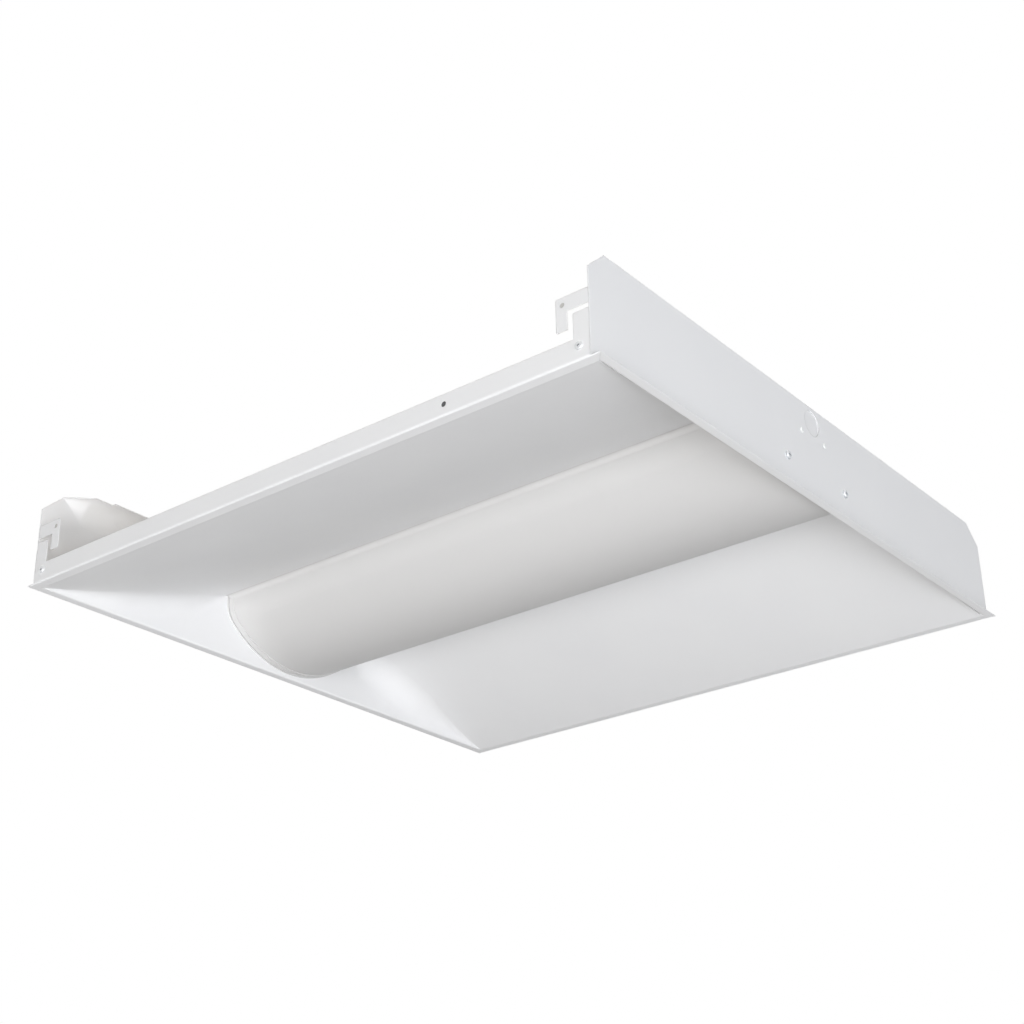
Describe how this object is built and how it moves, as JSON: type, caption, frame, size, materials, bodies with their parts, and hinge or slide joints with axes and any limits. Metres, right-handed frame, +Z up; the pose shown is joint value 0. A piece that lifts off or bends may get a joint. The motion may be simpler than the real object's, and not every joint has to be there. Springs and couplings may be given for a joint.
{
  "type": "recessed troffer light",
  "caption": "White 2 by 2 ft lay-in troffer with bowed frosted centre lens, bent steel side reflectors, end plates and fold-out grid clips.",
  "frame": {"origin": "middle of the trim, in the plane of its underside", "axes": "+Z up into the ceiling, +X along the lens towards the right end plate, +Y across towards the far side"},
  "size_m": [0.6032, 0.6054, 0.09],
  "materials": {
    "white_paint": "semi-gloss white powder coat on sheet steel",
    "galvanized": "bare galvanized sheet",
    "rivet": "aluminium blind rivet",
    "white_rivet": "rivet painted with the plate",
    "zinc_screw": "zinc plated",
    "green_screw": "green dyed zinc",
    "tinned": "tinned copper",
    "frosted_lens": "frosted translucent acrylic, extruded",
    "white_plastic": "moulded white polycarbonate",
    "spring_steel": "bright spring steel",
    "white_board": "white solder resist on an aluminium core board",
    "led": "yellow phosphor in a white package",
    "green_board": "green solder resist",
    "black_plastic": "moulded components",
    "rubber": "soft grommet",
    "orange_plastic": "twist-on connector",
    "lead_black": "PVC insulation",
    "lead_white": "PVC insulation",
    "lead_green": "PVC insulation",
    "lead_red": "PVC insulation",
    "lead_blue": "PVC insulation"
  },
  "bodies": {
    "fixture": {"side_reflector_far": "white_paint", "side_reflector_near": "white_paint", "end_plate_right": "white_paint", "end_plate_left": "white_paint", "knockout_discs": "white_paint", "corner_rivets": "rivet", "lens_end_cap_right": "white_plastic", "lens_end_cap_left": "white_plastic", "lens_springs": "spring_steel", "spring_rivets": "rivet", "led_tray": "galvanized", "board_screws": "zinc_screw", "cap_rivets": "white_rivet", "led_board_far": "white_board", "led_board_near": "white_board", "leds_far": "led", "leds_near": "led", "board_connectors": "white_plastic", "centre_channel": "white_paint", "channel_screws": "zinc_screw", "driver_base": "galvanized", "driver_case": "white_paint", "driver_board": "green_board", "driver_components": "black_plastic", "driver_screws": "zinc_screw", "end_screws": "zinc_screw", "ground_screw": "green_screw", "ground_terminal": "tinned", "tray_grommet": "rubber", "wire_connectors": "orange_plastic", "lead_black": "lead_black", "lead_white": "lead_white", "lead_green": "lead_green", "lead_red": "lead_red", "lead_blue": "lead_blue"},
    "lens": {"lens": "frosted_lens"},
    "access_cover": {"access_cover": "white_paint", "cover_screw": "zinc_screw"},
    "clip_right_far": {"tbar_clip_right_far": "white_paint"},
    "clip_left_far": {"tbar_clip_left_far": "white_paint"},
    "clip_right_near": {"tbar_clip_right_near": "white_paint"},
    "clip_left_near": {"tbar_clip_left_near": "white_paint"}
  },
  "joints": [
    {"name": "lens_release", "type": "slide", "parent": "fixture", "child": "lens", "axis": [0, 0, -1], "range_m": [0, 0.1]},
    {"name": "cover_hinge", "type": "hinge", "parent": "fixture", "child": "access_cover", "pos_m": [0.1636, 0, 0.0881], "axis": [0, -1, 0], "range_deg": [0, 100]},
    {"name": "clip_bend_right_far", "type": "hinge", "parent": "fixture", "child": "clip_right_far", "pos_m": [0.2929, 0.3016, 0.048], "axis": [0, 0, -1], "range_deg": [0, 90]},
    {"name": "clip_bend_left_far", "type": "hinge", "parent": "fixture", "child": "clip_left_far", "pos_m": [-0.2929, 0.3016, 0.048], "axis": [0, 0, 1], "range_deg": [0, 90]},
    {"name": "clip_bend_right_near", "type": "hinge", "parent": "fixture", "child": "clip_right_near", "pos_m": [0.2929, -0.3016, 0.048], "axis": [0, 0, 1], "range_deg": [0, 90]},
    {"name": "clip_bend_left_near", "type": "hinge", "parent": "fixture", "child": "clip_left_near", "pos_m": [-0.2929, -0.3016, 0.048], "axis": [0, 0, -1], "range_deg": [0, 90]}
  ]
}
